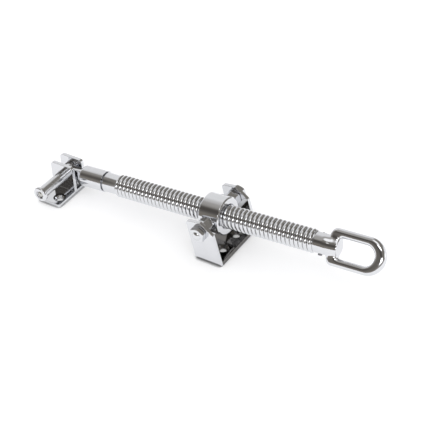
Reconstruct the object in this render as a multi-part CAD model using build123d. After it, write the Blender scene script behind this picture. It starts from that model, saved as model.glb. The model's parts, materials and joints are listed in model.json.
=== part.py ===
from build123d import *
import math
import os

os.makedirs("parts", exist_ok=True)

# Fanlight screw opener, in millimetres.
# Origin: centre of the frame bracket's mounting face. X runs along the screw towards
# the pull ring, Y across it, Z up from the mounting face.

# Screw
thread_diameter = 16.0
thread_pitch = 3.175
thread_turns = 49
thread_end_chamfer = 1.0
shank_diameter = 14.0
shank_length = 11.0
spigot_diameter = 9.0
spigot_tip = 1.2
ring_spigot_length = 8.0

# Pivots: heights above the mounting faces, and the distance between them at rest
frame_pivot_height = 23.0
sash_pivot_height = 13.3
pivot_spacing = 127.4

# Travelling nut and its trunnions
nut_diameter = 26.4
nut_length = 16.0
nut_chamfer = 0.8
spotface_depth = 0.6
stud_diameter = 6.0
stud_tip_gap = 0.2
stud_shoulder_flats = 10.0
stud_dome_height = 1.2
lock_nut_flats = 10.0
lock_nut_thickness = 3.8
hexagon_turn = 20.0

# Frame bracket; the corners of its leaning ears are given from the pivot
frame_base_width = 20.0
frame_outer_width = 47.0
frame_plate = 2.5
frame_pivot_offset = -6.0
frame_ear_half_width = 10.3
frame_ear_left_rise = 6.4
frame_ear_ridge_offset = 0.5
frame_ear_ridge_rise = 8.2
frame_ear_right_rise = 0.9
frame_ear_radius = 1.8
frame_screw_spacing = 17.2
frame_screw_offset = 2.0

# Sash bracket
sash_width = 19.0
sash_ear_gap = 8.3
sash_plate = 2.5
sash_ear_height = 22.3
sash_ear_radius = 2.4
sash_tail_length = 18.4
sash_tail_radius = 1.6
sash_screw_offset = 4.0
sash_screw_setback = 10.8

# Both brackets: bends and countersunk screw holes
bend_inner_radius = 0.8
bend_outer_radius = 2.2
screw_hole_diameter = 4.8
screw_head_diameter = 8.2

# Swivel: tongue, sleeve and the parts that hold the screw in the sleeve
eye_radius = 5.6
eye_bush_wall = 0.9
tongue_height = 8.8
tongue_thickness = 5.4
tongue_edge_radius = 1.0
plug_length = 5.6
sleeve_start = 15.1
sleeve_length = 19.4
sleeve_diameter = 15.2
sleeve_bore = 12.2
sleeve_end_wall = 3.6
sleeve_end_radius = 1.6
washer_thickness = 0.6
inner_washer_margin = 0.5
outer_washer_margin = 1.1
clip_thickness = 1.0
clip_groove_depth = 0.8
clip_rim = 1.6
grub_screw_diameter = 3.0
grub_screw_socket = 1.5

# Release pin, its barrel, spring and knob
pin_diameter = 4.5
pin_tail = 0.9
pin_travel = 12.0
barrel_diameter = 8.0
barrel_wall = 0.8
barrel_seat_depth = 1.0
barrel_bush_length = 3.4
collar_thickness = 1.4
spring_wire = 0.6
spring_turns = 5
spring_reserve = 3.7
knob_diameter = 10.8
knob_thickness = 2.6
knob_edge_radius = 0.8
knob_recess_diameter = 6.2
knob_recess_depth = 0.9
knob_spigot_diameter = 3.2

# Pull ring
hub_length = 9.0
ring_length = 39.6
ring_width = 24.8
ring_thickness = 7.0
ring_heel = 7.6
ring_side = 6.1
ring_crown = 7.6
ring_heel_radius = 4.6
ring_window_radius = 1.6
ring_edge_radius = 2.9
ring_roll = 56.0
cross_pin_diameter = 3.0
cross_pin_overhang = 1.0
cross_pin_recess = 0.3
cross_pin_setback = 4.2

# Clearances
running_clearance = 0.08
pin_clearance = 0.06
side_clearance = 0.3
end_clearance = 0.12

# Places that follow from the sizes above
tilt = math.degrees(math.asin((frame_pivot_height - sash_pivot_height) / pivot_spacing))
frame_pivot_x = frame_pivot_offset
sash_pivot_x = frame_pivot_x - pivot_spacing * math.cos(math.radians(tilt))
frame_inner_half = frame_outer_width / 2 - frame_plate
sash_inner_half = sash_ear_gap / 2
sash_outer_half = sash_inner_half + sash_plate
eye_width = sash_ear_gap - 2 * side_clearance
sleeve_end = sleeve_start + sleeve_length
bore_end = sleeve_end - sleeve_end_wall
shank_start = sleeve_end + 2 * end_clearance + washer_thickness
thread_start = shank_start + shank_length
thread_end = thread_start + thread_turns * thread_pitch
hub_start = thread_end
ring_start = hub_start + hub_length
clip_end = bore_end - 2 * end_clearance - washer_thickness
clip_start = clip_end - clip_thickness
barrel_start = sash_outer_half - barrel_seat_depth
spring_start = barrel_start + end_clearance + collar_thickness
spring_end = spring_start + pin_travel + (spring_turns + 1) * spring_wire + spring_reserve
spring_pitch = (spring_end - spring_start - spring_wire) / spring_turns
barrel_end = spring_end + barrel_bush_length

# The screw line: its own X runs from the sash pivot along the screw
screw_line = Location((sash_pivot_x, 0, sash_pivot_height), (0, -tilt, 0))
frame_pivot = Location((frame_pivot_x, 0, frame_pivot_height), (0, -tilt, 0))
sash_pivot = Location((sash_pivot_x, 0, sash_pivot_height))
ring_line = screw_line * Location((0, 0, 0), (ring_roll, 0, 0))


def turned(*points):
    """Solid turned about X from (along, radius) points; the axis closes the outline."""
    first, last = points[0][0], points[-1][0]
    outline = Polyline((first, 0), *points, (last, 0), close=True)
    return revolve(make_face(outline), Axis.X)


def bore(radius, start, end):
    """Cylinder along X between two places."""
    return Pos(start, 0, 0) * Rot(0, 90, 0) * Cylinder(
        radius, end - start, align=(Align.CENTER, Align.CENTER, Align.MIN)
    )


def dome(radius, start, rise):
    """Shallow dome along X with its flat side at a place."""
    edge = TangentArc((start + rise, 0), (start, radius), tangent=(0, 1))
    sides = Polyline((start, radius), (start, 0), (start + rise, 0))
    return revolve(make_face(edge + sides), Axis.X)


def across(shape):
    """Turn a shape made along X so that it runs along Y."""
    return Rot(0, 0, 90) * shape


def hexagon(flats, start, end):
    """Hexagonal bar along X, with its corners eased at both ends as on a nut."""
    corner = flats / math.sqrt(3)
    bar = Plane.YZ * Rot(0, 0, hexagon_turn) * RegularPolygon(corner, 6)
    bar = Pos(start, 0, 0) * extrude(bar, end - start)
    ease = (corner - flats / 2) * math.tan(math.radians(30))
    envelope = turned(
        (start, flats / 2), (start + ease, corner), (end - ease, corner), (end, flats / 2)
    )
    return bar & envelope


def countersunk_hole(plate, head_diameter):
    """Tool for a countersunk screw hole through a plate that lies on Z = 0."""
    shank = screw_hole_diameter / 2
    head = head_diameter / 2
    depth = head - shank
    straight = Pos(0, 0, plate / 2) * Cylinder(shank, 2 * plate)
    return straight + Pos(0, 0, plate - depth / 2) * Cone(shank, head, depth)


def channel(inner_half, plate, height, length):
    """Upright U channel along X with rounded bends, centred on X = 0."""
    outer_half = inner_half + plate
    outer = Pos(0, height / 2) * Rectangle(2 * outer_half, height)
    inner = Pos(0, plate + height / 2) * Rectangle(2 * inner_half, height)
    outer = fillet(outer.vertices().group_by(Axis.Y)[0], bend_outer_radius)
    inner = fillet(inner.vertices().group_by(Axis.Y)[0], bend_inner_radius)
    section = Plane.YZ * (outer - inner)
    return extrude(section, length / 2, both=True)


def frame_bracket():
    """Folded bracket screwed to the window frame; its ears carry the nut's trunnions."""
    half = frame_base_width / 2
    ridge_height = frame_pivot_height + frame_ear_ridge_rise
    corners = [
        (-half, 0),
        (half, 0),
        (frame_pivot_x + frame_ear_half_width, frame_pivot_height + frame_ear_right_rise),
        (frame_pivot_x + frame_ear_ridge_offset, ridge_height),
        (frame_pivot_x - frame_ear_half_width, frame_pivot_height + frame_ear_left_rise),
    ]
    outline = make_face(Polyline(*corners, close=True))
    rounded = outline.vertices().filter_by(lambda v: v.Y > frame_plate)
    outline = fillet(rounded, frame_ear_radius)
    prism = extrude(Plane.XZ * outline, frame_outer_width, both=True)
    body = channel(frame_inner_half, frame_plate, ridge_height, 4 * frame_base_width)
    body = body & prism
    pivot_radius = stud_diameter / 2 + running_clearance
    body -= frame_pivot * across(bore(pivot_radius, -frame_outer_width, frame_outer_width))
    for side in (-1, 1):
        place = Pos(frame_screw_offset, side * frame_screw_spacing / 2, 0)
        body -= place * countersunk_hole(frame_plate, screw_head_diameter)
    return body


def travel_nut():
    """Round nut that runs on the screw, spot-faced and tapped for the trunnion studs."""
    radius = nut_diameter / 2
    half = nut_length / 2
    body = turned(
        (-half, radius - nut_chamfer),
        (-half + nut_chamfer, radius),
        (half - nut_chamfer, radius),
        (half, radius - nut_chamfer),
    )
    hole = thread_diameter / 2 + running_clearance
    body -= turned(
        (-half, hole + nut_chamfer),
        (-half + nut_chamfer, hole),
        (half - nut_chamfer, hole),
        (half, hole + nut_chamfer),
    )
    seat = radius - spotface_depth
    spotface = stud_shoulder_flats / math.sqrt(3) + side_clearance
    for turn in (-90, 90):
        tool = bore(spotface, seat, radius) + bore(stud_diameter / 2, 0, seat)
        body -= Rot(0, 0, turn) * tool
    return frame_pivot * body


def trunnion_stud(side):
    """Stud screwed into the nut: hexagonal shoulder, bearing shank and domed end."""
    seat = nut_diameter / 2 - spotface_depth
    shoulder_end = frame_inner_half - side_clearance
    nut_end = frame_outer_width / 2 + end_clearance + lock_nut_thickness
    radius = stud_diameter / 2
    body = hexagon(stud_shoulder_flats, seat, shoulder_end)
    body += bore(radius, thread_diameter / 2 + stud_tip_gap, nut_end)
    body += dome(radius, nut_end, stud_dome_height)
    return frame_pivot * Rot(0, 0, 90 * side) * body


def lock_nut(side):
    """Hexagon nut that keeps an ear on its stud."""
    start = frame_outer_width / 2 + end_clearance
    end = start + lock_nut_thickness
    body = hexagon(lock_nut_flats, start, end) - bore(stud_diameter / 2, start, end)
    return frame_pivot * Rot(0, 0, 90 * side) * body


def screw_spindle():
    """Screw with a grooved spigot for the sleeve and a plain spigot for the ring hub."""
    spigot = spigot_diameter / 2
    shank = shank_diameter / 2
    thread = thread_diameter / 2
    groove = spigot - clip_groove_depth
    body = turned(
        (clip_start - spigot_tip, spigot - spigot_tip / 2),
        (clip_start - spigot_tip / 2, spigot),
        (clip_start, spigot),
        (clip_start, groove),
        (clip_end, groove),
        (clip_end, spigot),
        (shank_start, spigot),
        (shank_start, shank),
        (thread_start, shank),
        (thread_start + thread_end_chamfer, thread),
        (thread_end - thread_end_chamfer, thread),
        (thread_end, shank),
        (thread_end, spigot),
        (thread_end + ring_spigot_length, spigot),
    )
    cross = Pos(hub_start + cross_pin_setback, 0, 0) * Rot(ring_roll, 0, 0)
    body -= cross * across(bore(cross_pin_diameter / 2, -spigot_diameter, spigot_diameter))
    return screw_line * body


def pull_ring():
    """D-shaped ring with the hub that takes the screw's spigot."""
    half = ring_width / 2
    crown_centre = ring_length - half
    outer = Pos(crown_centre / 2, 0) * Rectangle(crown_centre, ring_width)
    outer = fillet(outer.vertices().group_by(Axis.X)[0], ring_heel_radius)
    outer += Pos(crown_centre, 0) * Circle(half)
    window_half = half - ring_side
    window_centre = ring_length - ring_crown - window_half
    window_length = window_centre - ring_heel
    window = Pos(ring_heel + window_length / 2, 0) * Rectangle(window_length, 2 * window_half)
    window = fillet(window.vertices().group_by(Axis.X)[0], ring_window_radius)
    window += Pos(window_centre, 0) * Circle(window_half)
    loop = extrude(outer - window, ring_thickness / 2, both=True)
    loop = fillet(loop.faces().sort_by(Axis.Z)[-1].edges(), ring_edge_radius)
    loop = fillet(loop.faces().sort_by(Axis.Z)[0].edges(), ring_edge_radius)
    loop = Pos(ring_start, 0, 0) * loop
    hub = shank_diameter / 2
    neck = ring_thickness / 2
    root = ring_start + ring_heel / 2
    shoulder = ring_start - neck / 2
    end = TangentArc((shoulder, hub), (root, neck), tangent=(1, 0))
    sides = Polyline((root, neck), (root, 0), (hub_start, 0), (hub_start, hub), (shoulder, hub))
    body = loop + revolve(make_face(end + sides), Axis.X)
    socket = hub_start + ring_spigot_length + end_clearance
    body -= bore(spigot_diameter / 2, hub_start, socket)
    cross = Pos(hub_start + cross_pin_setback, 0, 0)
    body -= cross * across(bore(cross_pin_diameter / 2, -shank_diameter, shank_diameter))
    return ring_line * body


def ring_cross_pin():
    """Pin through the hub and the spigot, proud at its lower end only."""
    low = -(shank_diameter / 2 + cross_pin_overhang)
    high = shank_diameter / 2 - cross_pin_recess
    radius = cross_pin_diameter / 2
    ease = radius / 4
    body = turned(
        (low, radius - ease), (low + ease, radius), (high - ease, radius), (high, radius - ease)
    )
    return ring_line * Pos(hub_start + cross_pin_setback, 0, 0) * across(body)


def swivel_sleeve():
    """Sleeve that the screw turns in; its far end is closed by the tongue's plug."""
    outside = sleeve_diameter / 2
    bore_radius = sleeve_bore / 2
    body = bore(outside, sleeve_start, sleeve_end)
    start_rim = body.edges().filter_by(GeomType.CIRCLE).sort_by(Axis.X)[0]
    body = fillet(start_rim, min(sleeve_end_radius, 0.9 * (outside - bore_radius)))
    body -= bore(bore_radius, sleeve_start, bore_end)
    body -= bore(spigot_diameter / 2 + running_clearance, bore_end, sleeve_end)
    body -= grub_screw_seat()
    return screw_line * body


def grub_screw_seat():
    """Tapped hole from below, through the sleeve wall and into the plug."""
    depth = sleeve_bore / 2 - grub_screw_diameter
    hole = bore(grub_screw_diameter / 2, depth, sleeve_diameter)
    return Pos(sleeve_start + plug_length / 2, 0, 0) * Rot(0, 90, 0) * hole


def grub_screw():
    """Socket set screw that locks the plug in the sleeve, just below the surface."""
    start = sleeve_bore / 2 - grub_screw_diameter
    end = sleeve_diameter / 2 - side_clearance
    body = bore(grub_screw_diameter / 2, start, end)
    socket = Plane.YZ * RegularPolygon(grub_screw_socket / math.sqrt(3), 6)
    body -= Pos(end - grub_screw_socket, 0, 0) * extrude(socket, 2 * grub_screw_socket)
    place = Pos(sleeve_start + plug_length / 2, 0, 0)
    return screw_line * place * Rot(0, 90, 0) * body


def swivel_tongue():
    """Eye between the sash ears, flat neck and the round plug inside the sleeve."""
    eye = across(bore(eye_radius, -eye_width / 2, eye_width / 2))
    eye = chamfer(eye.edges().filter_by(GeomType.CIRCLE), side_clearance)
    neck = extrude(Plane.YZ * Rectangle(tongue_thickness, tongue_height), sleeve_start)
    neck = fillet(neck.edges().filter_by(Axis.X), tongue_edge_radius)
    body = eye + neck + bore(sleeve_bore / 2, sleeve_start, sleeve_start + plug_length)
    body -= across(bore(pin_diameter / 2 + pin_clearance + eye_bush_wall, -eye_width, eye_width))
    body -= grub_screw_seat()
    return screw_line * body


def eye_bush():
    """Bush in the eye that the release pin passes through."""
    inside = pin_diameter / 2 + pin_clearance
    half = eye_width / 2
    body = bore(inside + eye_bush_wall, -half, half) - bore(inside, -half, half)
    return screw_line * across(body)


def thrust_washer(outside, start):
    """Washer on the spigot; it turns with the screw."""
    end = start + washer_thickness
    body = bore(outside, start, end) - bore(spigot_diameter / 2, start, end)
    return screw_line * body


def retaining_clip():
    """Open clip in the spigot's groove that stops the screw pulling out of the sleeve."""
    groove = spigot_diameter / 2 - clip_groove_depth
    outside = groove + clip_rim
    body = bore(outside, clip_start, clip_end) - bore(groove, clip_start, clip_end)
    mouth = Box(clip_thickness, 2 * groove, outside, align=(Align.MIN, Align.CENTER, Align.MIN))
    body -= Pos(clip_start, 0, groove / 2) * mouth
    return screw_line * body


def sash_bracket():
    """Bracket screwed to the sash: two ears for the tongue and a tail with a screw hole."""
    outline = Pos(0, sash_ear_height / 2) * Rectangle(sash_width, sash_ear_height)
    outline = fillet(outline.vertices().group_by(Axis.Y)[-1], sash_ear_radius)
    prism = extrude(Plane.XZ * outline, sash_outer_half, both=True)
    body = channel(sash_inner_half, sash_plate, sash_ear_height, sash_width) & prism
    tail_end = sash_outer_half + sash_tail_length
    tail = Pos(0, -tail_end / 2) * Rectangle(sash_width, tail_end)
    tail = fillet(tail.vertices().group_by(Axis.Y)[0], sash_tail_radius)
    body += extrude(tail, sash_plate) - Pos(0, 0, sash_plate) * Box(
        sash_width, 2 * sash_inner_half, sash_plate, align=(Align.CENTER, Align.CENTER, Align.MIN)
    )
    inner_head = sash_ear_gap - 2 * bend_inner_radius
    body -= Pos(sash_screw_offset, 0, 0) * countersunk_hole(sash_plate, inner_head)
    tail_screw = Pos(sash_screw_offset, -(sash_outer_half + sash_screw_setback), 0)
    body -= tail_screw * countersunk_hole(sash_plate, screw_head_diameter)
    lift = Pos(0, 0, sash_pivot_height)
    pin_hole = pin_diameter / 2 + pin_clearance
    body -= lift * across(bore(pin_hole, -tail_end, tail_end))
    body -= lift * across(bore(barrel_diameter / 2, -tail_end, -barrel_start))
    return Pos(sash_pivot_x, 0, 0) * body


def pin_barrel():
    """Tube on the front ear that houses the release pin's spring."""
    inside = barrel_diameter / 2 - barrel_wall
    body = bore(barrel_diameter / 2, barrel_start, barrel_end)
    body -= bore(inside, barrel_start, barrel_end)
    return sash_pivot * Rot(0, 0, -90) * body


def barrel_bush():
    """Guide pressed into the barrel's open end; the spring pushes against it."""
    body = bore(barrel_diameter / 2 - barrel_wall, spring_end, barrel_end)
    body -= bore(pin_diameter / 2 + pin_clearance, spring_end, barrel_end)
    return sash_pivot * Rot(0, 0, -90) * body


def release_pin():
    """Pin through both ears and the eye, necked down for the knob."""
    radius = pin_diameter / 2
    tip = -(sash_outer_half + pin_tail)
    ease = radius / 4
    knob_start = barrel_end + side_clearance
    knob_seat = knob_start + knob_thickness - knob_recess_depth
    body = turned(
        (tip, radius - ease),
        (tip + ease, radius),
        (knob_start, radius),
        (knob_start, knob_spigot_diameter / 2),
        (knob_seat, knob_spigot_diameter / 2),
    )
    return sash_pivot * Rot(0, 0, -90) * body


def pin_collar():
    """Collar fixed on the pin; the spring holds it against the front ear."""
    start = spring_start - collar_thickness
    outside = barrel_diameter / 2 - barrel_wall - running_clearance
    body = bore(outside, start, spring_start) - bore(pin_diameter / 2, start, spring_start)
    return sash_pivot * Rot(0, 0, -90) * body


def release_spring():
    """Compression spring between the collar and the barrel bush."""
    inside = pin_diameter / 2
    outside = barrel_diameter / 2 - barrel_wall
    coil = (inside + outside) / 2
    path = Helix(spring_pitch, spring_turns * spring_pitch, coil)
    wire = Plane(origin=path @ 0, z_dir=path % 0) * Circle(spring_wire / 2)
    body = sweep(wire, path, is_frenet=True)
    place = Pos(spring_start + spring_wire / 2, 0, 0) * Rot(0, 90, 0)
    return sash_pivot * Rot(0, 0, -90) * place * body


def spring_gap(pitch):
    """Least gap between neighbouring turns, measured on the wire's centre line."""
    coil = (pin_diameter + barrel_diameter) / 4 - barrel_wall / 2
    steps = 720
    least = math.inf
    for step in range(steps // 2, 3 * steps // 2 + 1):
        angle = 2 * math.pi * step / steps
        chord = 2 * coil * math.sin(angle / 2)
        least = min(least, math.hypot(chord, pitch * step / steps))
    return least - spring_wire


def pull_knob():
    """Round knob riveted on the pin's neck inside a shallow recess."""
    start = barrel_end + side_clearance
    end = start + knob_thickness
    body = bore(knob_diameter / 2, start, end)
    rims = body.edges().filter_by(GeomType.CIRCLE)
    body = fillet(rims, min(knob_edge_radius, 0.45 * knob_thickness))
    body -= bore(knob_spigot_diameter / 2, start, end)
    body -= bore(knob_recess_diameter / 2, end - knob_recess_depth, end)
    return sash_pivot * Rot(0, 0, -90) * body


def knob_rivet():
    """Domed head that closes the pin over the knob's recess."""
    seat = barrel_end + side_clearance + knob_thickness - knob_recess_depth
    head = (knob_recess_diameter + knob_spigot_diameter) / 4
    return sash_pivot * Rot(0, 0, -90) * dome(head, seat, knob_recess_depth)


inner_washer_radius = sleeve_bore / 2 - inner_washer_margin
outer_washer_radius = shank_diameter / 2 - outer_washer_margin
pieces = {
    "frame_bracket": frame_bracket(),
    "travel_nut": travel_nut(),
    "trunnion_stud_front": trunnion_stud(-1),
    "trunnion_stud_back": trunnion_stud(1),
    "lock_nut_front": lock_nut(-1),
    "lock_nut_back": lock_nut(1),
    "screw_spindle": screw_spindle(),
    "pull_ring": pull_ring(),
    "ring_cross_pin": ring_cross_pin(),
    "thrust_washer_outer": thrust_washer(outer_washer_radius, sleeve_end + end_clearance),
    "thrust_washer_inner": thrust_washer(inner_washer_radius, clip_end),
    "retaining_clip": retaining_clip(),
    "swivel_sleeve": swivel_sleeve(),
    "swivel_tongue": swivel_tongue(),
    "sleeve_grub_screw": grub_screw(),
    "eye_bush": eye_bush(),
    "sash_bracket": sash_bracket(),
    "pin_barrel": pin_barrel(),
    "barrel_bush": barrel_bush(),
    "release_pin": release_pin(),
    "pin_collar": pin_collar(),
    "release_spring": release_spring(),
    "pull_knob": pull_knob(),
    "knob_rivet": knob_rivet(),
}
for name, piece in pieces.items():
    export_step(piece, f"parts/{name}.step")
    print(f"{name}: {piece.volume:.1f} mm3")
print(f"tilt {tilt:.4f} deg, sash pivot x {sash_pivot_x:.4f}, barrel end {barrel_end:.3f}")
open_gap = spring_gap(spring_pitch)
closed_gap = spring_gap(spring_pitch - pin_travel / spring_turns)
print(f"least gap between spring turns: {open_gap:.3f} mm open, {closed_gap:.3f} mm pulled")
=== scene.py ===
import json
import math

import bmesh
import bpy
from mathutils import Matrix, Vector


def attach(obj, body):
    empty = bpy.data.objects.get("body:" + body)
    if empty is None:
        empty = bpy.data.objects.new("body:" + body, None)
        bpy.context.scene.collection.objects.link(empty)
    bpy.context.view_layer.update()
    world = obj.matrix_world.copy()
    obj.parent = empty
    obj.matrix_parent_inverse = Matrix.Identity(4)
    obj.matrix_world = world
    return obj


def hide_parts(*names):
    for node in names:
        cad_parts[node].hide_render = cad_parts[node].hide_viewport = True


# Fanlight screw opener: polished chrome on steel, on a white table in a light tent.
# All lengths are in metres; millimetre sizes are written as numbers times mm.

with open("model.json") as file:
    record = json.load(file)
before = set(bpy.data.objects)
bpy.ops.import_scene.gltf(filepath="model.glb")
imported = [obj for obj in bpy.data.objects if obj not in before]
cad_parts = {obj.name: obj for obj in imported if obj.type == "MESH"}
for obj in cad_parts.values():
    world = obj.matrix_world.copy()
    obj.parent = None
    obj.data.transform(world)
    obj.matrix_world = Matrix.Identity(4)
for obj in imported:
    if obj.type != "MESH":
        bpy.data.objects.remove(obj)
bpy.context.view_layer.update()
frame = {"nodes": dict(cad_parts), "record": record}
mm = 0.001


def toLinear(hexColour):
    # sRGB hex to the linear values that shader sockets take
    values = []
    for i in (0, 2, 4):
        c = int(hexColour[i:i + 2], 16) / 255
        values.append(c / 12.92 if c <= 0.04045 else ((c + 0.055) / 1.055) ** 2.4)
    return (*values, 1.0)


def addNode(tree, kind, inputs=None, **settings):
    # One node with its settings. An input is a value, another node, which stands for its
    # first output, or (other node, its output).
    node = tree.nodes.new(kind)
    for name, value in settings.items():
        setattr(node, name, value)
    for name, value in (inputs or {}).items():
        if isinstance(value, bpy.types.Node):
            value = (value, 0)
        if isinstance(value, tuple) and isinstance(value[0], bpy.types.Node):
            tree.links.new(value[0].outputs[value[1]], node.inputs[name])
        else:
            node.inputs[name].default_value = value
    return node


def newMaterial(name):
    material = bpy.data.materials.new(name)
    material.use_nodes = True
    material.node_tree.nodes.clear()
    return material, material.node_tree


noiseSpan = (0.3, 0.7)        # where the values of a noise mostly lie
scratchSpan = (0.45, 0.75)    # the upper part of them, which counts as scratches


def polishedMetal(name, look, paintedShadeAt=None):
    # A bright metal whose polish varies a little: broad ripple from the buffing wheel,
    # fine scratches along one direction, and a faint cloud in the roughness and the tint.
    # The mask function, if given, says where shade is painted: there the tint turns to a darker
    # colour that stands in for shade.
    material, tree = newMaterial(name)
    place = addNode(tree, "ShaderNodeTexCoord")
    stretched = addNode(tree, "ShaderNodeMapping", {
        "Vector": (place, "Object"), "Scale": look["lineScale"]})
    cloud = addNode(tree, "ShaderNodeTexNoise", {
        "Vector": (place, "Object"), "Scale": 1 / look["cloudSize"],
        "Detail": 3.0, "Roughness": 0.55})
    ripple = addNode(tree, "ShaderNodeTexNoise", {
        "Vector": (place, "Object"), "Scale": 1 / look["rippleSize"],
        "Detail": 1.0, "Roughness": 0.4})
    lines = addNode(tree, "ShaderNodeTexNoise", {
        "Vector": stretched, "Scale": 1 / look["lineSpacing"], "Detail": 2.0, "Roughness": 0.6})
    tint = addNode(tree, "ShaderNodeMix", {
        "Factor": cloud, 6: toLinear(look["darkTint"]), 7: toLinear(look["lightTint"])},
        data_type="RGBA")
    # painted shade: where the mask is 1, the tint turns to a darker colour that stands in for shade
    if paintedShadeAt:
        mask = paintedShadeAt(tree, (place, "Object"))
        tint = addNode(tree, "ShaderNodeMix", {
            "Factor": mask, 6: (tint, 2), 7: toLinear(look["paintedShadeTint"])}, data_type="RGBA")
    polish = addNode(tree, "ShaderNodeMapRange", {
        "Value": cloud, "From Min": noiseSpan[0], "From Max": noiseSpan[1],
        "To Min": look["roughLow"], "To Max": look["roughHigh"]})
    lineRough = addNode(tree, "ShaderNodeMapRange", {
        "Value": lines, "From Min": scratchSpan[0], "From Max": scratchSpan[1],
        "To Min": 0.0, "To Max": look["lineRough"]})
    rough = addNode(tree, "ShaderNodeMath", {0: polish, 1: lineRough}, operation="ADD")
    edge = addNode(tree, "ShaderNodeBevel", {"Radius": look["edgeRadius"]}, samples=6)
    wave = addNode(tree, "ShaderNodeBump", {
        "Height": ripple, "Normal": edge, "Strength": 1.0, "Distance": look["rippleHeight"]})
    grain = addNode(tree, "ShaderNodeBump", {
        "Height": lines, "Normal": wave, "Strength": 1.0, "Distance": look["lineHeight"]})
    metal = addNode(tree, "ShaderNodeBsdfPrincipled", {
        "Base Color": (tint, 2), "Roughness": rough, "Normal": grain, "Metallic": 1.0})
    addNode(tree, "ShaderNodeOutputMaterial", {"Surface": metal})
    return material


# Along the screw, places are measured from the sash pivot
screwSize = {
    "pivot": Vector((-133.030193, 0, 13.3)) * mm,   # sash pivot, where the screw's line starts
    "tilt": 4.366620,                               # degrees above the floor
    "pitch": 3.175 * mm,
    "crestRadius": 8.0 * mm,
    "rootRadius": 7.05 * mm,
    "shankRadius": 7.0 * mm,
    "spigotRadius": 4.5 * mm,
    "grooveRadius": 3.7 * mm,
    "clipStart": 29.06 * mm,
    "clipEnd": 30.06 * mm,
    "spigotStart": 27.86 * mm,
    "shankStart": 35.34 * mm,
    "threadStart": 46.34 * mm,
    "threadEnd": 201.915 * mm,
    "spigotEnd": 209.915 * mm,
    "spigotChamfer": 0.6 * mm,
    "shankChamfer": 0.3 * mm,
    "runOut": 1.4 * mm,       # how far a ridge takes to rise from the shank
    "roundness": 2.2,         # of a ridge: 1 is a sharp V, 2 a parabola, more has a flatter top
    "crestPhase": 0.52,       # turn at which a ridge stands on the +Y side
    "around": 80,             # vertices round it
    "perTurn": 20,            # rows of vertices for each turn of the thread
    "paintedShadeTop": 0.60 * mm,   # how far below the crests the painted shade in the groove starts
    "paintedShadeFloor": 0.05 * mm,   # how far above the groove's bottom it is full
    "paintedShadeEnd": 0.8 * mm,    # how far from the thread's ends it stops
}


def threadPaintedShade(tree, place):
    # where shade is painted: 1 in the bottom of the thread's groove, 0 on the ridges and on the
    # plain shank
    tilt = math.radians(screwSize["tilt"])
    line = (math.cos(tilt), 0.0, math.sin(tilt))
    offset = addNode(tree, "ShaderNodeVectorMath", {0: place, 1: screwSize["pivot"]},
                     operation="SUBTRACT")
    cross = addNode(tree, "ShaderNodeVectorMath", {0: offset, 1: line}, operation="CROSS_PRODUCT")
    radius = addNode(tree, "ShaderNodeVectorMath", {0: cross}, operation="LENGTH")
    depth = addNode(tree, "ShaderNodeMapRange", {
        "Value": (radius, "Value"),
        "From Min": screwSize["crestRadius"] - screwSize["paintedShadeTop"],
        "From Max": screwSize["rootRadius"] + screwSize["paintedShadeFloor"]})
    along = addNode(tree, "ShaderNodeVectorMath", {0: offset, 1: line}, operation="DOT_PRODUCT")
    middle = (screwSize["threadStart"] + screwSize["threadEnd"]) / 2
    half = (screwSize["threadEnd"] - screwSize["threadStart"]) / 2
    aside = addNode(tree, "ShaderNodeMath", {0: (along, "Value"), 1: middle}, operation="SUBTRACT")
    away = addNode(tree, "ShaderNodeMath", {0: aside}, operation="ABSOLUTE")
    inside = addNode(tree, "ShaderNodeMath", {0: away, 1: half - screwSize["paintedShadeEnd"]},
                     operation="LESS_THAN")
    return addNode(tree, "ShaderNodeMath", {0: depth, 1: inside}, operation="MULTIPLY")


# The inside of the frame bracket's fold, where shade is painted
foldSize = {
    "top": 21 * mm, "bottom": 9 * mm,       # between these heights the painted shade inside fades in
    "halfWidth": 21.1 * mm,                 # to the inner faces of the ears
    "halfLength": 12.5 * mm,
    "floor": 0.1 * mm,                      # above the face that lies on the table
}


def foldPaintedShade(tree, place):
    # where shade is painted: 1 down inside the frame bracket's fold and in its screw holes, fading
    # out up its ears
    split = addNode(tree, "ShaderNodeSeparateXYZ", {"Vector": place})
    height = addNode(tree, "ShaderNodeMapRange", {
        "Value": (split, "Z"), "From Min": foldSize["top"], "From Max": foldSize["bottom"]})
    across = addNode(tree, "ShaderNodeMath", {0: (split, "Y")}, operation="ABSOLUTE")
    between = addNode(tree, "ShaderNodeMath", {0: across, 1: foldSize["halfWidth"]},
                      operation="LESS_THAN")
    above = addNode(tree, "ShaderNodeMath", {0: (split, "Z"), 1: foldSize["floor"]},
                    operation="GREATER_THAN")
    along = addNode(tree, "ShaderNodeMath", {0: (split, "X")}, operation="ABSOLUTE")
    short = addNode(tree, "ShaderNodeMath", {0: along, 1: foldSize["halfLength"]},
                    operation="LESS_THAN")
    inner = addNode(tree, "ShaderNodeMath", {0: between, 1: above}, operation="MULTIPLY")
    deep = addNode(tree, "ShaderNodeMath", {0: inner, 1: short}, operation="MULTIPLY")
    return addNode(tree, "ShaderNodeMath", {0: deep, 1: height}, operation="MULTIPLY")


# The countersink in the sash bracket's tail, round which shade is painted
sinkSize = {
    "middle": (-129.03 * mm, -17.45 * mm, 0.0),
    "rimRadius": 3.9 * mm,
    "fadeStart": 0.35 * mm, "fadeEnd": 0.7 * mm,    # from the rim, where the painted dark line fades out
}


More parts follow.
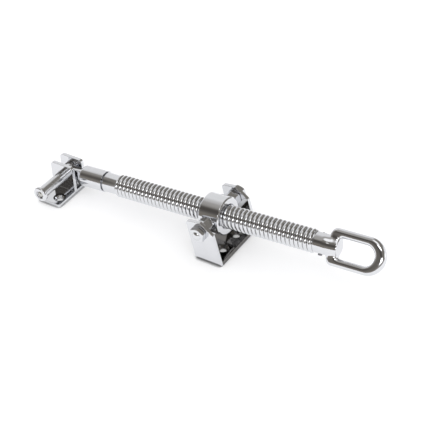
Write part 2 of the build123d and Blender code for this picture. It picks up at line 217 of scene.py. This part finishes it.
def sinkPaintedShade(tree, place):
    # where shade is painted: 1 on the rim of the countersink in the sash bracket's tail, 0 just
    # inside and outside it
    split = addNode(tree, "ShaderNodeSeparateXYZ", {"Vector": place})
    flat = addNode(tree, "ShaderNodeCombineXYZ", {"X": (split, "X"), "Y": (split, "Y")})
    away = addNode(tree, "ShaderNodeVectorMath", {0: flat, 1: sinkSize["middle"]},
                   operation="DISTANCE")
    aside = addNode(tree, "ShaderNodeMath", {0: (away, "Value"), 1: sinkSize["rimRadius"]},
                    operation="SUBTRACT")
    width = addNode(tree, "ShaderNodeMath", {0: aside}, operation="ABSOLUTE")
    return addNode(tree, "ShaderNodeMapRange", {
        "Value": width, "From Min": sinkSize["fadeEnd"], "From Max": sinkSize["fadeStart"]})


chromeLook = {
    "darkTint": "D4D5D8", "lightTint": "DEDFE2",
    "roughLow": 0.035, "roughHigh": 0.075,
    "cloudSize": 9 * mm,           # of the patches in which tint and polish drift
    "rippleSize": 7 * mm, "rippleHeight": 0.012 * mm,
    # buffing lines: real ones are a tenth of this apart, too fine to show
    "lineSpacing": 1.1 * mm, "lineScale": (1, 1, 1), "lineHeight": 0.0006 * mm, "lineRough": 0.02,
    "edgeRadius": 0.4 * mm,        # how far the plating rounds an edge
}
# what all pressed pieces share, with buffing lines drawn out along the strip
pressedLook = {
    **chromeLook, "rippleHeight": 0.02 * mm, "rippleSize": 6 * mm, "lineScale": (0.25, 1, 1)}

# Bright chrome on pressed steel strip: mirror-like, with a slight ripple left by the press and
# the buffing
bracketChrome = polishedMetal("Chrome plate on pressed steel", pressedLook)
# The same chrome with shade painted inside the deep fold, a dark tint standing in for the shade
# there
foldPaintedShadeChrome = polishedMetal("Chrome plate with painted shade inside a fold", {
    **pressedLook, "paintedShadeTint": "6F6D6B"}, foldPaintedShade)
# The same chrome with a countersink, with shade painted as a dark line where the sink meets the
# face
sinkPaintedShadeChrome = polishedMetal("Chrome plate with painted shade round a countersink", {
    **pressedLook, "paintedShadeTint": "343230"}, sinkPaintedShade)
# Bright chrome on a turned collar: clean mirror with the faintest rings from the lathe
nutChrome = polishedMetal("Chrome plate on turned collar", {
    **chromeLook, "lineScale": (3.0, 0.4, 0.4), "lineHeight": 0.0009 * mm})
# Bright chrome on small studs and nuts: sharp highlights, a little more wear
hardwareChrome = polishedMetal("Chrome plate on nuts and studs", {
    **chromeLook, "roughLow": 0.05, "roughHigh": 0.10, "cloudSize": 3 * mm, "rippleSize": 3 * mm})
# Bright chrome on the rolled thread and its shank: bright ridges, with shade painted dark in the
# grooves
grooveShadedScrewChrome = polishedMetal("Chrome plate on rolled screw", {
    **chromeLook, "roughLow": 0.045, "roughHigh": 0.09, "cloudSize": 5 * mm, "rippleSize": 5 * mm,
    "lineScale": (3.0, 0.4, 0.4), "edgeRadius": 0.15 * mm, "paintedShadeTint": "6A6765"}, threadPaintedShade)
# Turned tube: rings from the tool run round it and smear what it mirrors along its length
barrelChrome = polishedMetal("Turned and plated tube", {
    **chromeLook, "roughLow": 0.19, "roughHigh": 0.27, "lineSpacing": 0.9 * mm,
    "lineScale": (0.1, 1.5, 0.1), "lineHeight": 0.03 * mm, "lineRough": 0.05})
# Bright chrome on a cast and buffed ring: deep mirror with soft, flowing ripple
ringChrome = polishedMetal("Chrome plate on cast ring", {
    **chromeLook, "rippleSize": 8 * mm, "rippleHeight": 0.02 * mm,
    "roughLow": 0.03, "roughHigh": 0.07})
# Ground steel pin: duller and greyer than the plating, with fine lines round it
pinSteel = polishedMetal("Ground steel pin", {
    **chromeLook, "darkTint": "B4B3B0", "lightTint": "C4C3C0", "roughLow": 0.16, "roughHigh": 0.26,
    "lineScale": (0.5, 3.0, 0.5), "lineHeight": 0.002 * mm})
# Drawn spring wire: dark, oily grey
springSteel = polishedMetal("Drawn spring steel", {
    **chromeLook, "darkTint": "77777A", "lightTint": "8D8D90", "roughLow": 0.22, "roughHigh": 0.34,
    "cloudSize": 2 * mm, "lineHeight": 0.002 * mm})
# Turned brass washer and bushes: warm, satin
washerBrass = polishedMetal("Turned brass", {
    **chromeLook, "darkTint": "C79C4E", "lightTint": "DDB868", "roughLow": 0.18, "roughHigh": 0.28,
    "cloudSize": 4 * mm, "lineHeight": 0.002 * mm})

finishes = {
    "bracket_chrome": bracketChrome, "nut_chrome": nutChrome, "hardware_chrome": hardwareChrome,
    "screw_chrome": grooveShadedScrewChrome, "ring_chrome": ringChrome, "pin_steel": pinSteel,
    "spring_steel": springSteel, "washer_brass": washerBrass,
}
slotOf = {s["node"]: s["material_slot"] for s in frame["record"]["subparts"]}
for name, node in frame["nodes"].items():
    node.data.materials.clear()
    node.data.materials.append(finishes[slotOf[name]])
# nodes whose finish differs from the others of their slot
for name, finish in (("frame_bracket", foldPaintedShadeChrome), ("pin_barrel", barrelChrome),
                     ("thrust_washer_outer", grooveShadedScrewChrome), ("sash_bracket", sinkPaintedShadeChrome),
                     ("ring_cross_pin", springSteel)):
    frame["nodes"][name].data.materials[0] = finish
print("materials: every CAD node has its finish")


seamReach = 0.0005 * mm    # vertices nearer than this at the thread's seam are the same
joinReach = 0.001 * mm     # the same, where meshes are joined


def threadTree(size, finish):
    # A tube whose radius follows the thread: the place along it and round it gives the phase
    tree = bpy.data.node_groups.new("Thread", "GeometryNodeTree")
    tree.interface.new_socket("Geometry", in_out="OUTPUT", socket_type="NodeSocketGeometry")
    for label in ("Start", "End", "Pitch", "Crest radius", "Root radius", "Shank radius", "Run-out",
                  "Roundness", "Crest phase"):
        tree.interface.new_socket(label, in_out="INPUT", socket_type="NodeSocketFloat")
    entry = addNode(tree, "NodeGroupInput")
    turns = (size["threadEnd"] - size["threadStart"]) / size["pitch"]
    grid = addNode(tree, "GeometryNodeMeshGrid", {
        "Size X": 1.0, "Size Y": 1.0,
        "Vertices X": round(turns * size["perTurn"]) + 1, "Vertices Y": size["around"] + 1})
    place = addNode(tree, "GeometryNodeInputPosition")
    split = addNode(tree, "ShaderNodeSeparateXYZ", {"Vector": place})
    share = addNode(tree, "ShaderNodeMath", {0: (split, "X"), 1: 0.5}, operation="ADD")
    length = addNode(tree, "ShaderNodeMath", {0: (entry, "End"), 1: (entry, "Start")},
                     operation="SUBTRACT")
    travelled = addNode(tree, "ShaderNodeMath", {0: share, 1: length}, operation="MULTIPLY")
    along = addNode(tree, "ShaderNodeMath", {0: travelled, 1: (entry, "Start")}, operation="ADD")
    turn = addNode(tree, "ShaderNodeMath", {0: (split, "Y"), 1: 0.5}, operation="ADD")
    angle = addNode(tree, "ShaderNodeMath", {0: turn, 1: 2 * math.pi}, operation="MULTIPLY")
    pitches = addNode(tree, "ShaderNodeMath", {0: along, 1: (entry, "Pitch")}, operation="DIVIDE")
    wound = addNode(tree, "ShaderNodeMath", {0: pitches, 1: turn}, operation="SUBTRACT")
    phase = addNode(tree, "ShaderNodeMath", {0: wound, 1: (entry, "Crest phase")},
                    operation="SUBTRACT")
    # distance from the middle of a ridge: 0 on the crest, 1 in the bottom of the groove
    fromCrest = addNode(tree, "ShaderNodeMath", {0: phase, 1: 0.5}, operation="PINGPONG")
    aside = addNode(tree, "ShaderNodeMath", {0: fromCrest, 1: 2.0}, operation="MULTIPLY")
    fall = addNode(tree, "ShaderNodeMath", {0: aside, 1: (entry, "Roundness")}, operation="POWER")
    rise = addNode(tree, "ShaderNodeMath", {0: (entry, "Crest radius"), 1: (entry, "Root radius")},
                   operation="SUBTRACT")
    drop = addNode(tree, "ShaderNodeMath", {0: fall, 1: rise}, operation="MULTIPLY")
    ridge = addNode(tree, "ShaderNodeMath", {0: (entry, "Crest radius"), 1: drop},
                    operation="SUBTRACT")
    # the ridge runs out to the shank at both ends
    left = addNode(tree, "ShaderNodeMath", {0: length, 1: travelled}, operation="SUBTRACT")
    toEnd = addNode(tree, "ShaderNodeMath", {0: travelled, 1: left}, operation="MINIMUM")
    fade = addNode(tree, "ShaderNodeMapRange", {"Value": toEnd, "From Max": (entry, "Run-out")},
                   interpolation_type="SMOOTHSTEP")
    extra = addNode(tree, "ShaderNodeMath", {0: ridge, 1: (entry, "Shank radius")},
                    operation="SUBTRACT")
    kept = addNode(tree, "ShaderNodeMath", {0: extra, 1: fade}, operation="MULTIPLY")
    radius = addNode(tree, "ShaderNodeMath", {0: kept, 1: (entry, "Shank radius")}, operation="ADD")
    cosine = addNode(tree, "ShaderNodeMath", {0: angle}, operation="COSINE")
    sine = addNode(tree, "ShaderNodeMath", {0: angle}, operation="SINE")
    across = addNode(tree, "ShaderNodeMath", {0: radius, 1: cosine}, operation="MULTIPLY")
    up = addNode(tree, "ShaderNodeMath", {0: radius, 1: sine}, operation="MULTIPLY")
    point = addNode(tree, "ShaderNodeCombineXYZ", {"X": along, "Y": across, "Z": up})
    moved = addNode(tree, "GeometryNodeSetPosition", {"Geometry": grid, "Position": point})
    closed = addNode(tree, "GeometryNodeMergeByDistance", {
        "Geometry": moved, "Distance": seamReach})
    whole = addNode(tree, "GeometryNodeRealizeInstances", {"Geometry": closed})
    coated = addNode(tree, "GeometryNodeSetMaterial", {"Geometry": whole, "Material": finish})
    addNode(tree, "NodeGroupOutput", {"Geometry": coated})
    return tree


def grownMesh(tree, values):
    # runs a tree on a holder object and returns the plain mesh
    holder = bpy.data.objects.new("holder", bpy.data.meshes.new("holder"))
    bpy.context.scene.collection.objects.link(holder)
    modifier = holder.modifiers.new("Grow", "NODES")
    modifier.node_group = tree
    for item in tree.interface.items_tree:
        if item.item_type == "SOCKET" and item.in_out == "INPUT" and item.name in values:
            modifier[item.identifier] = values[item.name]
    depsgraph = bpy.context.evaluated_depsgraph_get()
    mesh = bpy.data.meshes.new_from_object(holder.evaluated_get(depsgraph), depsgraph=depsgraph)
    holder.modifiers.remove(modifier)
    bpy.data.objects.remove(holder)
    return mesh


def turnedMesh(rows, around):
    # rows are (along, radius) pairs; radius 0 closes the end
    vertices, faces, rings = [], [], []
    for along, radius in rows:
        if radius == 0:
            rings.append([len(vertices)])
            vertices.append((along, 0, 0))
            continue
        rings.append(list(range(len(vertices), len(vertices) + around)))
        for i in range(around):
            angle = 2 * math.pi * i / around
            vertices.append((along, radius * math.cos(angle), radius * math.sin(angle)))
    for first, second in zip(rings, rings[1:]):
        for i in range(around):
            j = (i + 1) % around
            if len(first) == 1:
                faces.append((first[0], second[j], second[i]))
            elif len(second) == 1:
                faces.append((first[i], first[j], second[0]))
            else:
                faces.append((first[i], first[j], second[j], second[i]))
    mesh = bpy.data.meshes.new("turned")
    mesh.from_pydata(vertices, [], faces)
    return mesh


def joinMeshes(name, meshes, finish, sharpAngle=35):
    # one piece from several meshes: doubles merged, faces outwards, and edges sharper than the
    # angle, in degrees, kept crisp
    shape = bmesh.new()
    for mesh in meshes:
        shape.from_mesh(mesh)
    bmesh.ops.remove_doubles(shape, verts=shape.verts, dist=joinReach)
    bmesh.ops.recalc_face_normals(shape, faces=shape.faces)
    for face in shape.faces:
        face.smooth = True
        face.material_index = 0
    limit = math.radians(sharpAngle)
    for edge in shape.edges:
        edge.smooth = len(edge.link_faces) == 2 and edge.calc_face_angle(0) < limit
    mesh = bpy.data.meshes.new(name)
    shape.to_mesh(mesh)
    shape.free()
    mesh.materials.clear()
    mesh.materials.append(finish)
    piece = bpy.data.objects.new(name, mesh)
    bpy.context.scene.collection.objects.link(piece)
    return piece


def alongScrew(size):
    # from the X axis to the screw's own line, which starts in the sash pivot
    tilted = Matrix.Rotation(math.radians(-size["tilt"]), 4, "Y")
    return Matrix.Translation(size["pivot"]) @ tilted


def makeScrew(size):
    shank, spigot, groove = size["shankRadius"], size["spigotRadius"], size["grooveRadius"]
    spigotChamfer, shankChamfer = size["spigotChamfer"], size["shankChamfer"]
    thread = grownMesh(threadTree(size, grooveShadedScrewChrome), {
        "Start": size["threadStart"], "End": size["threadEnd"], "Pitch": size["pitch"],
        "Crest radius": size["crestRadius"], "Root radius": size["rootRadius"],
        "Shank radius": shank, "Run-out": size["runOut"], "Roundness": size["roundness"],
        "Crest phase": size["crestPhase"]})
    start = turnedMesh([
        (size["spigotStart"], 0), (size["spigotStart"], spigot - spigotChamfer),
        (size["spigotStart"] + spigotChamfer, spigot), (size["clipStart"], spigot),
        (size["clipStart"], groove), (size["clipEnd"], groove), (size["clipEnd"], spigot),
        (size["shankStart"], spigot), (size["shankStart"], shank - shankChamfer),
        (size["shankStart"] + shankChamfer, shank), (size["threadStart"], shank)], size["around"])
    end = turnedMesh([
        (size["threadEnd"], shank), (size["threadEnd"], spigot), (size["spigotEnd"], spigot),
        (size["spigotEnd"], 0)], size["around"])
    screw = joinMeshes("screwWithThread", [start, thread, end], grooveShadedScrewChrome)
    screw.data.transform(alongScrew(size))
    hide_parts("screw_spindle")
    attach(screw, "screw")


makeScrew(screwSize)
print("screw: thread and shank made")

# The ring lies in its own XY plane, its hub along X; sizes in this dictionary are in millimetres
ringSize = {
    "start": 210.915,           # from the sash pivot to the ring's outer left edge
    "roll": 56.0,               # degrees that the ring's plane is turned about the screw
    "half": (19.8, 12.4, 3.5),  # half the loop's length, width and thickness
    "heelRadius": 4.6, "crownRadius": 12.4,
    "windowMiddle": 19.8, "windowHalf": (12.2, 6.3),
    "windowHeelRadius": 1.6, "windowCrownRadius": 6.3,
    "edgeRadius": 2.9,
    "hubStart": -9.0, "hubEnd": 7.6, "hubRadius": 7.0, "hubEdge": 0.3,   # the round foot
    "blend": 3.4,               # how widely the hub flows into the ring
    "taperStart": -3.5, "taperEnd": 6.5, "taper": 1.5,   # the hub draws in before the window
    "lip": 1.7,                 # how round the window's edge is where it cuts the hub
    "pinPlace": -4.8, "pinRadius": 1.5,
    "low": (-9.6, -13.2, -8.0), "high": (40.4, 13.2, 8.0),     # the block it is meshed in
    "voxel": 0.25,
    "skinLevel": 1.0, "emptyLevel": -5.0,    # density on the surface and outside the block
}


def roundedDistance(tree, first, second, radius):
    # distance to a rounded corner, from the distances along two directions to its centre
    most = addNode(tree, "ShaderNodeMath", {0: first, 1: second}, operation="MAXIMUM")
    inside = addNode(tree, "ShaderNodeMath", {0: most, 1: 0.0}, operation="MINIMUM")
    firstOut = addNode(tree, "ShaderNodeMath", {0: first, 1: 0.0}, operation="MAXIMUM")
    secondOut = addNode(tree, "ShaderNodeMath", {0: second, 1: 0.0}, operation="MAXIMUM")
    pair = addNode(tree, "ShaderNodeCombineXYZ", {"X": firstOut, "Y": secondOut})
    outside = addNode(tree, "ShaderNodeVectorMath", {0: pair}, operation="LENGTH")
    total = addNode(tree, "ShaderNodeMath", {0: inside, 1: (outside, "Value")}, operation="ADD")
    return addNode(tree, "ShaderNodeMath", {0: total, 1: radius}, operation="SUBTRACT")


def plateDistance(tree, split, middle, half, leftRadius, rightRadius):
    # distance to a plate's outline in the ring's plane, with one corner radius at each end
    aside = addNode(tree, "ShaderNodeMath", {0: (split, "X"), 1: middle}, operation="SUBTRACT")
    along = addNode(tree, "ShaderNodeMath", {0: aside}, operation="ABSOLUTE")
    across = addNode(tree, "ShaderNodeMath", {0: (split, "Y")}, operation="ABSOLUTE")
    right = addNode(tree, "ShaderNodeMath", {0: aside, 1: 0.0}, operation="GREATER_THAN")
    radius = addNode(tree, "ShaderNodeMapRange", {
        "Value": right, "To Min": leftRadius, "To Max": rightRadius})
    first = addNode(tree, "ShaderNodeMath", {0: along, 1: radius}, operation="ADD")
    second = addNode(tree, "ShaderNodeMath", {0: across, 1: radius}, operation="ADD")
    firstIn = addNode(tree, "ShaderNodeMath", {0: first, 1: half[0]}, operation="SUBTRACT")
    secondIn = addNode(tree, "ShaderNodeMath", {0: second, 1: half[1]}, operation="SUBTRACT")
    return roundedDistance(tree, firstIn, secondIn, radius)


def ringTree(size, finish):
    # The ring as one cast body: the distance to its surface is worked out in a block of space
    # and meshed there
    tree = bpy.data.node_groups.new("Cast ring", "GeometryNodeTree")
    tree.interface.new_socket("Geometry", in_out="OUTPUT", socket_type="NodeSocketGeometry")
    for label in ("Blend", "Lip", "Edge radius", "Hub radius", "Taper"):
        tree.interface.new_socket(label, in_out="INPUT", socket_type="NodeSocketFloat")
    entry = addNode(tree, "NodeGroupInput")
    place = addNode(tree, "GeometryNodeInputPosition")
    scaled = addNode(tree, "ShaderNodeVectorMath", {0: place, "Scale": 1 / mm}, operation="SCALE")
    split = addNode(tree, "ShaderNodeSeparateXYZ", {"Vector": scaled})
    outline = plateDistance(tree, split, size["half"][0], size["half"],
                            size["heelRadius"], size["crownRadius"])
    window = plateDistance(tree, split, size["windowMiddle"], size["windowHalf"],
                           size["windowHeelRadius"], size["windowCrownRadius"])
    hole = addNode(tree, "ShaderNodeMath", {0: window, 1: -1.0}, operation="MULTIPLY")
    flat = addNode(tree, "ShaderNodeMath", {0: outline, 1: hole}, operation="MAXIMUM")
    up = addNode(tree, "ShaderNodeMath", {0: (split, "Z")}, operation="ABSOLUTE")
    height = addNode(tree, "ShaderNodeMath", {0: up, 1: size["half"][2]}, operation="SUBTRACT")
    first = addNode(tree, "ShaderNodeMath", {0: flat, 1: (entry, "Edge radius")}, operation="ADD")
    second = addNode(tree, "ShaderNodeMath", {0: height, 1: (entry, "Edge radius")},
                     operation="ADD")
    loop = roundedDistance(tree, first, second, (entry, "Edge radius"))
    # hub: a cylinder along X that runs on to the window
    across = addNode(tree, "ShaderNodeCombineXYZ", {"Y": (split, "Y"), "Z": (split, "Z")})
    radial = addNode(tree, "ShaderNodeVectorMath", {0: across}, operation="LENGTH")
    ending = addNode(tree, "ShaderNodeMapRange", {
        "Value": (split, "X"), "From Min": size["taperStart"], "From Max": size["taperEnd"]},
        interpolation_type="SMOOTHSTEP")
    inset = addNode(tree, "ShaderNodeMath", {0: ending, 1: (entry, "Taper")}, operation="MULTIPLY")
    wider = addNode(tree, "ShaderNodeMath", {0: (radial, "Value"), 1: inset}, operation="ADD")
    side = addNode(tree, "ShaderNodeMath", {0: wider, 1: (entry, "Hub radius")},
                   operation="SUBTRACT")
    sideIn = addNode(tree, "ShaderNodeMath", {0: side, 1: size["hubEdge"]}, operation="ADD")
    aside = addNode(tree, "ShaderNodeMath", {
        0: (split, "X"), 1: (size["hubStart"] + size["hubEnd"]) / 2}, operation="SUBTRACT")
    away = addNode(tree, "ShaderNodeMath", {0: aside}, operation="ABSOLUTE")
    endIn = addNode(tree, "ShaderNodeMath", {
        0: away, 1: (size["hubEnd"] - size["hubStart"]) / 2 - size["hubEdge"]},
        operation="SUBTRACT")
    hub = roundedDistance(tree, sideIn, endIn, size["hubEdge"])
    whole = addNode(tree, "ShaderNodeMath", {0: loop, 1: hub, 2: (entry, "Blend")},
                    operation="SMOOTH_MIN")
    cut = addNode(tree, "ShaderNodeMath", {0: whole, 1: hole, 2: (entry, "Lip")},
                  operation="SMOOTH_MAX")
    # hole for the cross pin
    pinSide = addNode(tree, "ShaderNodeMath", {0: (split, "X"), 1: size["pinPlace"]},
                      operation="SUBTRACT")
    pinAcross = addNode(tree, "ShaderNodeCombineXYZ", {"X": pinSide, "Z": (split, "Z")})
    pinRadial = addNode(tree, "ShaderNodeVectorMath", {0: pinAcross}, operation="LENGTH")
    bore = addNode(tree, "ShaderNodeMath", {0: size["pinRadius"], 1: (pinRadial, "Value")},
                   operation="SUBTRACT")
    body = addNode(tree, "ShaderNodeMath", {0: cut, 1: bore}, operation="MAXIMUM")
    density = addNode(tree, "ShaderNodeMath", {0: size["skinLevel"], 1: body},
                      operation="SUBTRACT")
    counts = [round((high - low) / size["voxel"]) for low, high in zip(size["low"], size["high"])]
    block = addNode(tree, "GeometryNodeVolumeCube", {
        "Density": density, "Background": size["emptyLevel"],
        "Min": [v * mm for v in size["low"]], "Max": [v * mm for v in size["high"]],
        "Resolution X": counts[0], "Resolution Y": counts[1], "Resolution Z": counts[2]})
    skin = addNode(tree, "GeometryNodeVolumeToMesh", {
        "Volume": block, "Threshold": size["skinLevel"], "Adaptivity": 0.0},
        resolution_mode="GRID")
    plain = addNode(tree, "GeometryNodeRealizeInstances", {"Geometry": skin})
    coated = addNode(tree, "GeometryNodeSetMaterial", {"Geometry": plain, "Material": finish})
    addNode(tree, "NodeGroupOutput", {"Geometry": coated})
    return tree


def makeRing(size):
    mesh = grownMesh(ringTree(size, ringChrome), {
        "Blend": size["blend"], "Lip": size["lip"], "Edge radius": size["edgeRadius"],
        "Hub radius": size["hubRadius"], "Taper": size["taper"]})
    ring = joinMeshes("castRing", [mesh], ringChrome, sharpAngle=180)
    rolled = Matrix.Rotation(math.radians(size["roll"]), 4, "X")
    shifted = Matrix.Translation((size["start"] * mm, 0, 0))
    ring.data.transform(alongScrew(screwSize) @ rolled @ shifted)
    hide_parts("pull_ring")
    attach(ring, "screw")
    return ring


ring = makeRing(ringSize)
print("ring: cast body made,", len(ring.data.polygons), "faces")


studio = {
    "floorColour": "E8E8E9",
    "floorLift": 0.29,             # how much whiter the table looks than the light on it makes it
    "mirroredLift": 0.34,          # the same, as the chrome mirrors it
    "closeReach": 4 * mm,          # how near a thing has to be to shade the table closely
    "closeShade": 0.2,             # how much light is left there
    "shutIn": 0.45, "free": 0.80,  # openness at which the table is fully shaded and not at all
    "tableHalf": 0.45,             # half the table's length; beyond it the chrome mirrors the room
    "plainLight": 0.95,            # the even light of the tent, as matt surfaces get it
    "horizonColour": "D9D7D5",
    "horizonLow": -10, "horizonHigh": 15,      # degrees between which the horizon turns to room
    "roomColour": "86827C",        # the unlit room, which the chrome shows as grey bands
}
# patches of the studio as seen from the object: azimuth and elevation of the middle in degrees,
# half their size, how softly they end, and how bright they are
patches = [
    {"azimuth": -98, "elevation": 37, "halfWidth": 46, "halfHeight": 15, "soft": 12,
     "colour": "56524E", "strength": 1.0},      # darkest corner, round the camera
    {"azimuth": 165, "elevation": 62, "halfWidth": 60, "halfHeight": 12, "soft": 8,
     "colour": "B4B1AD", "strength": 1.0},      # grey ceiling over the back left
    {"azimuth": -108, "elevation": 3, "halfWidth": 20, "halfHeight": 13, "soft": 8,
     "colour": "837D75", "strength": 1.0},      # dark gap below the camera
    {"azimuth": 142, "elevation": 16, "halfWidth": 36, "halfHeight": 38, "soft": 10,
     "colour": "FFFFFF", "strength": 0.93},     # white screen at the back left
    {"azimuth": 50, "elevation": 2, "halfWidth": 13, "halfHeight": 20, "soft": 4,
     "colour": "FFFFFF", "strength": 1.1},      # white screen at the right
    {"azimuth": 27, "elevation": 5, "halfWidth": 11, "halfHeight": 9, "soft": 3,
     "colour": "FFFFFF", "strength": 2.0},      # bright lamp low at the right
    {"azimuth": -62, "elevation": 24, "halfWidth": 24, "halfHeight": 7, "soft": 3,
     "colour": "FFFFFF", "strength": 3.2},      # lamp below the camera
    {"azimuth": -62, "elevation": 62, "halfWidth": 34, "halfHeight": 7, "soft": 3,
     "colour": "FFFFFF", "strength": 3.2},      # lamp above the camera
    {"azimuth": 0, "elevation": 90, "halfWidth": 180, "halfHeight": 17, "soft": 5,
     "colour": "FFFFFF", "strength": 1.3},      # lamp right overhead
]


def makeFloor(size):
    material, tree = newMaterial("White table")
    rays = addNode(tree, "ShaderNodeLightPath")
    seen = addNode(tree, "ShaderNodeMath", {
        0: (rays, "Is Camera Ray"), 1: size["floorLift"]}, operation="MULTIPLY")
    mirrored = addNode(tree, "ShaderNodeMath", {
        0: (rays, "Is Glossy Ray"), 1: size["mirroredLift"]}, operation="MULTIPLY")
    most = addNode(tree, "ShaderNodeMath", {0: seen, 1: mirrored}, operation="MAXIMUM")
    # the table darkens where something stands very close to it, as in a bracket's screw holes
    openness = addNode(tree, "ShaderNodeAmbientOcclusion", {"Distance": size["closeReach"]},
                       samples=8)
    shade = addNode(tree, "ShaderNodeMapRange", {
        "Value": (openness, "AO"), "From Min": size["shutIn"], "From Max": size["free"],
        "To Min": size["closeShade"]})
    lift = addNode(tree, "ShaderNodeMath", {0: most, 1: shade}, operation="MULTIPLY")
    paint = addNode(tree, "ShaderNodeMix", {
        "Factor": shade, 6: toLinear("000000"), 7: toLinear(size["floorColour"])},
        data_type="RGBA")
    paper = addNode(tree, "ShaderNodeBsdfDiffuse", {"Color": (paint, 2)})
    glow = addNode(tree, "ShaderNodeEmission", {"Color": toLinear("FFFFFF"), "Strength": lift})
    both = addNode(tree, "ShaderNodeAddShader", {0: paper, 1: glow})
    addNode(tree, "ShaderNodeOutputMaterial", {"Surface": both})
    half = size["tableHalf"]
    mesh = bpy.data.meshes.new("floor")
    corners = [(-half, -half, 0), (half, -half, 0), (half, half, 0), (-half, half, 0)]
    mesh.from_pydata(corners, [], [(0, 1, 2, 3)])
    mesh.materials.append(material)
    floor = bpy.data.objects.new("floor", mesh)
    bpy.context.scene.collection.objects.link(floor)


def skyPatch(tree, azimuth, elevation, patch):
    # 1 inside a patch of the studio, 0 outside, with soft borders
    aside = addNode(tree, "ShaderNodeMath", {0: azimuth, 1: math.radians(patch["azimuth"])},
                    operation="SUBTRACT")
    wrapped = addNode(tree, "ShaderNodeMath", {0: aside, 1: math.pi, 2: -math.pi}, operation="WRAP")
    width = addNode(tree, "ShaderNodeMath", {0: wrapped}, operation="ABSOLUTE")
    above = addNode(tree, "ShaderNodeMath", {0: elevation, 1: math.radians(patch["elevation"])},
                    operation="SUBTRACT")
    height = addNode(tree, "ShaderNodeMath", {0: above}, operation="ABSOLUTE")
    masks = []
    for distance, half in ((width, patch["halfWidth"]), (height, patch["halfHeight"])):
        masks.append(addNode(tree, "ShaderNodeMapRange", {
            "Value": distance,
            "From Min": math.radians(half - patch["soft"]),
            "From Max": math.radians(half + patch["soft"]),
            "To Min": 1.0, "To Max": 0.0}, interpolation_type="SMOOTHSTEP"))
    return addNode(tree, "ShaderNodeMath", {0: masks[0], 1: masks[1]}, operation="MULTIPLY")


def makeWorld(size):
    world = bpy.data.worlds.new("Light tent")
    bpy.context.scene.world = world
    world.use_nodes = True
    tree = world.node_tree
    tree.nodes.clear()
    place = addNode(tree, "ShaderNodeTexCoord")
    split = addNode(tree, "ShaderNodeSeparateXYZ", {"Vector": (place, "Generated")})
    azimuth = addNode(tree, "ShaderNodeMath", {0: (split, "Y"), 1: (split, "X")},
                      operation="ARCTAN2")
    elevation = addNode(tree, "ShaderNodeMath", {0: (split, "Z")}, operation="ARCSINE")
    rise = addNode(tree, "ShaderNodeMapRange", {
        "Value": elevation, "From Min": math.radians(size["horizonLow"]),
        "From Max": math.radians(size["horizonHigh"])}, interpolation_type="SMOOTHSTEP")
    seen = addNode(tree, "ShaderNodeMix", {
        "Factor": rise, 6: toLinear(size["horizonColour"]), 7: toLinear(size["roomColour"])},
        data_type="RGBA")
    for patch in patches:
        mask = skyPatch(tree, azimuth, elevation, patch)
        colour = tuple(c * patch["strength"] for c in toLinear(patch["colour"])[:3]) + (1.0,)
        seen = addNode(tree, "ShaderNodeMix", {"Factor": mask, 6: (seen, 2), 7: colour},
                       data_type="RGBA")
    mirrored = addNode(tree, "ShaderNodeBackground", {"Color": (seen, 2), "Strength": 1.0})
    even = addNode(tree, "ShaderNodeBackground", {
        "Color": toLinear("FFFFFF"), "Strength": size["plainLight"]})
    white = addNode(tree, "ShaderNodeBackground", {"Color": toLinear("FFFFFF"), "Strength": 1.0})
    rays = addNode(tree, "ShaderNodeLightPath")
    lit = addNode(tree, "ShaderNodeMixShader", {
        0: (rays, "Is Diffuse Ray"), 1: mirrored, 2: even})
    both = addNode(tree, "ShaderNodeMixShader", {
        0: (rays, "Is Camera Ray"), 1: lit, 2: white})
    addNode(tree, "ShaderNodeOutputWorld", {"Surface": both})


cameraSize = {
    "place": Vector((357.764, -540.521, 537.420)) * mm,
    "azimuth": 33.97,      # degrees that the camera stands to the right of the front
    "elevation": 38.5,
    "roll": -3.09,
    "lens": 103.02, "sensorWidth": 36,     # in millimetres
    "clipStart": 0.01, "clipEnd": 20,      # in metres
}


def makeCamera(size):
    a, e, r = (math.radians(size[k]) for k in ("azimuth", "elevation", "roll"))
    back = Vector((math.sin(a) * math.cos(e), -math.cos(a) * math.cos(e), math.sin(e)))
    right = (-back).cross(Vector((0, 0, 1))).normalized()
    up = right.cross(-back)
    across = math.cos(r) * right + math.sin(r) * up
    upward = -math.sin(r) * right + math.cos(r) * up
    data = bpy.data.cameras.new("camera")
    data.sensor_fit = "HORIZONTAL"
    data.sensor_width = size["sensorWidth"]
    data.lens = size["lens"]
    data.clip_start = size["clipStart"]
    data.clip_end = size["clipEnd"]
    camera = bpy.data.objects.new("camera", data)
    turn = Matrix((across, upward, back)).transposed().to_4x4()
    camera.matrix_world = Matrix.Translation(size["place"]) @ turn
    bpy.context.scene.collection.objects.link(camera)
    bpy.context.scene.camera = camera


makeFloor(studio)
makeWorld(studio)
makeCamera(cameraSize)
bpy.context.scene.view_settings.view_transform = "Standard"
print("stage, light and camera are set")
